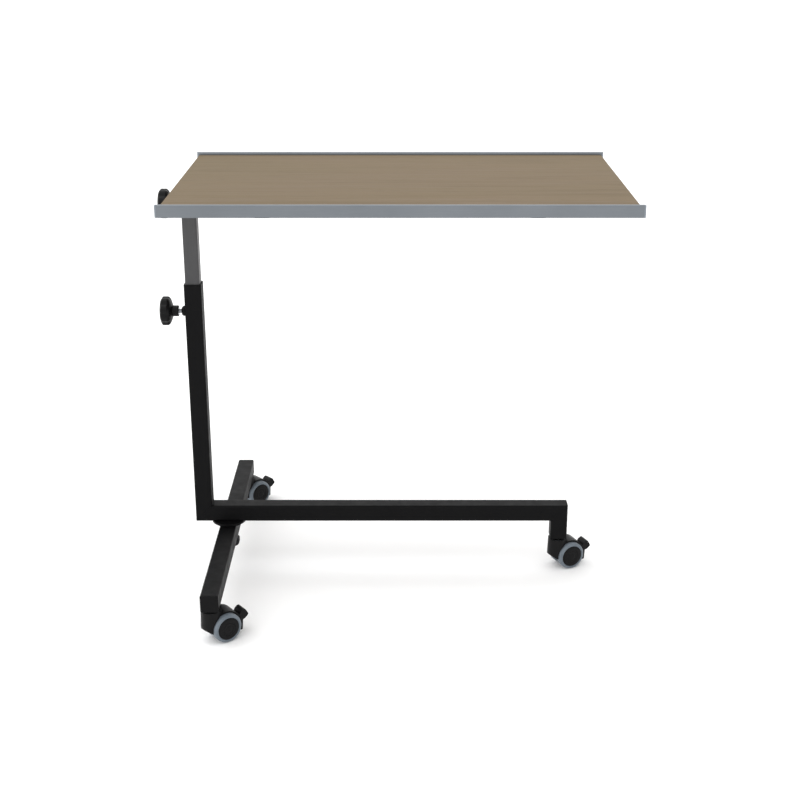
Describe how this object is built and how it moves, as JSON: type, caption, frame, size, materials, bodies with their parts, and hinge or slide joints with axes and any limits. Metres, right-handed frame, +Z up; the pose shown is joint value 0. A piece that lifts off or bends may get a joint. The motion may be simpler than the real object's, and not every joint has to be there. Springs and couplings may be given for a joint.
{
  "type": "overbed table",
  "caption": "Overbed table with a C-shaped black tube base on braked twin-wheel casters, a telescopic side column with clamp knobs, and a tilting wood-grain top with raised aluminium edges.",
  "frame": {"origin": "on the floor, under the middle of the object's box at rest", "axes": "+X along the top's length, away from the column; +Y towards the top's far edge; +Z up"},
  "size_m": [0.7826, 0.617, 0.72],
  "materials": {
    "black_powder_coat": "satin black powder coat with fine texture",
    "grey_powder_coat": "satin mid-grey coat",
    "zinc_steel": "bright zinc plate",
    "black_nylon": "moulded nylon",
    "black_moulding": "fine-textured moulded plastic",
    "tyre_grey": "soft grey polyurethane tread",
    "wood_laminate": "satin wood-grain laminate",
    "edge_band": "satin wood-grain edge band",
    "chipboard": "raw chipboard",
    "satin_aluminium": "satin anodised",
    "grey_plastic": "moulded grey plastic"
  },
  "bodies": {
    "base_frame": {"column_tube": "black_powder_coat", "beam_tube": "black_powder_coat", "leg_tube": "black_powder_coat", "leg_bush": "zinc_steel", "guide_bush": "black_nylon", "clamp_boss": "black_powder_coat", "pivot_disc": "black_powder_coat", "pivot_washer": "black_nylon", "pivot_stud": "zinc_steel", "caster_right_stem": "zinc_steel"},
    "cross_bar": {"cross_bar_tube": "black_powder_coat", "cross_bar_caps": "black_nylon", "cross_bar_bushes": "zinc_steel", "cross_bar_sleeve": "zinc_steel", "caster_front_stem": "zinc_steel", "caster_back_stem": "zinc_steel"},
    "inner_column": {"inner_tube": "grey_powder_coat", "column_foot": "black_nylon", "column_cap": "black_nylon", "tilt_sleeve": "zinc_steel"},
    "table_top": {"board_core": "chipboard", "laminate_skins": "wood_laminate", "edge_bands": "edge_band", "front_profile": "satin_aluminium", "back_profile": "satin_aluminium", "profile_caps": "grey_plastic", "tilt_rail": "black_powder_coat", "rail_plate": "black_powder_coat", "rail_nut": "zinc_steel", "rail_plug": "black_nylon", "tilt_washer": "black_nylon", "cross_straps": "black_powder_coat", "strap_caps": "black_nylon", "board_screws": "zinc_steel"},
    "height_clamp": {"height_knob": "black_moulding", "height_stud": "zinc_steel"},
    "tilt_clamp": {"tilt_knob": "black_moulding", "tilt_bolt": "zinc_steel"},
    "pivot_clamp": {"pivot_knob": "black_moulding"},
    "front_caster": {"caster_front_housing": "black_moulding", "caster_front_pins": "zinc_steel"},
    "front_pedal": {"caster_front_pedal": "black_moulding"},
    "front_near_wheel": {"caster_front_near_hub": "black_moulding", "caster_front_near_tyre": "tyre_grey"},
    "front_far_wheel": {"caster_front_far_hub": "black_moulding", "caster_front_far_tyre": "tyre_grey"},
    "back_caster": {"caster_back_housing": "black_moulding", "caster_back_pins": "zinc_steel"},
    "back_pedal": {"caster_back_pedal": "black_moulding"},
    "back_near_wheel": {"caster_back_near_hub": "black_moulding", "caster_back_near_tyre": "tyre_grey"},
    "back_far_wheel": {"caster_back_far_hub": "black_moulding", "caster_back_far_tyre": "tyre_grey"},
    "right_caster": {"caster_right_housing": "black_moulding", "caster_right_pins": "zinc_steel"},
    "right_pedal": {"caster_right_pedal": "black_moulding"},
    "right_near_wheel": {"caster_right_near_hub": "black_moulding", "caster_right_near_tyre": "tyre_grey"},
    "right_far_wheel": {"caster_right_far_hub": "black_moulding", "caster_right_far_tyre": "tyre_grey"}
  },
  "joints": [
    {"name": "base_swivel", "type": "hinge", "parent": "base_frame", "child": "cross_bar", "pos_m": [-0.28875, -0.0154, 0.076], "axis": [0, 0, 1], "range_deg": [-90, 90]},
    {"name": "board_tilt", "type": "hinge", "parent": "inner_column", "child": "table_top", "pos_m": [-0.31775, -0.0154, 0.6735], "axis": [1, 0, 0], "range_deg": [-60, 60]},
    {"name": "column_lift", "type": "slide", "parent": "base_frame", "child": "inner_column", "axis": [0, 0, 1], "range_m": [-0.07, 0.23]},
    {"name": "knob_base", "type": "hinge", "parent": "base_frame", "child": "pivot_clamp", "pos_m": [-0.28875, -0.0154, 0.052], "axis": [0, 0, -1], "range_deg": [0, 540]},
    {"name": "knob_height", "type": "hinge", "parent": "base_frame", "child": "height_clamp", "pos_m": [-0.37175, -0.0154, 0.487], "axis": [-1, 0, 0], "range_deg": [0, 540]},
    {"name": "knob_tilt", "type": "hinge", "parent": "inner_column", "child": "tilt_clamp", "pos_m": [-0.36175, -0.0154, 0.6735], "axis": [-1, 0, 0], "range_deg": [0, 540]},
    {"name": "pedal_back", "type": "hinge", "parent": "back_caster", "child": "back_pedal", "pos_m": [-0.25291, 0.29102, 0.03], "axis": [-0.682, 0.7314, 0], "range_deg": [0, 13]},
    {"name": "pedal_front", "type": "hinge", "parent": "front_caster", "child": "front_pedal", "pos_m": [-0.24962, -0.25891, 0.03], "axis": [-0.6018, 0.7986, 0], "range_deg": [0, 13]},
    {"name": "pedal_right", "type": "hinge", "parent": "right_caster", "child": "right_pedal", "pos_m": [0.35301, 0.00453, 0.03], "axis": [-0.4067, 0.9135, 0], "range_deg": [0, 13]},
    {"name": "swivel_back", "type": "hinge", "parent": "cross_bar", "child": "back_caster", "pos_m": [-0.28875, 0.2576, 0.05], "axis": [0, 0, 1], "continuous": true},
    {"name": "swivel_front", "type": "hinge", "parent": "cross_bar", "child": "front_caster", "pos_m": [-0.28875, -0.2884, 0.05], "axis": [0, 0, 1], "continuous": true},
    {"name": "swivel_right", "type": "hinge", "parent": "base_frame", "child": "right_caster", "pos_m": [0.30825, -0.0154, 0.05], "axis": [0, 0, 1], "continuous": true},
    {"name": "wheel_back_far", "type": "hinge", "parent": "back_caster", "child": "back_far_wheel", "pos_m": [-0.28404, 0.28114, 0.025], "axis": [-0.682, 0.7314, 0], "continuous": true},
    {"name": "wheel_back_near", "type": "hinge", "parent": "back_caster", "child": "back_near_wheel", "pos_m": [-0.26494, 0.26066, 0.025], "axis": [-0.682, 0.7314, 0], "continuous": true},
    {"name": "wheel_front_far", "type": "hinge", "parent": "front_caster", "child": "front_far_wheel", "pos_m": [-0.2816, -0.26549, 0.025], "axis": [-0.6018, 0.7986, 0], "continuous": true},
    {"name": "wheel_front_near", "type": "hinge", "parent": "front_caster", "child": "front_near_wheel", "pos_m": [-0.26475, -0.28785, 0.025], "axis": [-0.6018, 0.7986, 0], "continuous": true},
    {"name": "wheel_right_far", "type": "hinge", "parent": "right_caster", "child": "right_far_wheel", "pos_m": [0.32037, 0.00532, 0.025], "axis": [-0.4067, 0.9135, 0], "continuous": true},
    {"name": "wheel_right_near", "type": "hinge", "parent": "right_caster", "child": "right_near_wheel", "pos_m": [0.33176, -0.02026, 0.025], "axis": [-0.4067, 0.9135, 0], "continuous": true}
  ]
}
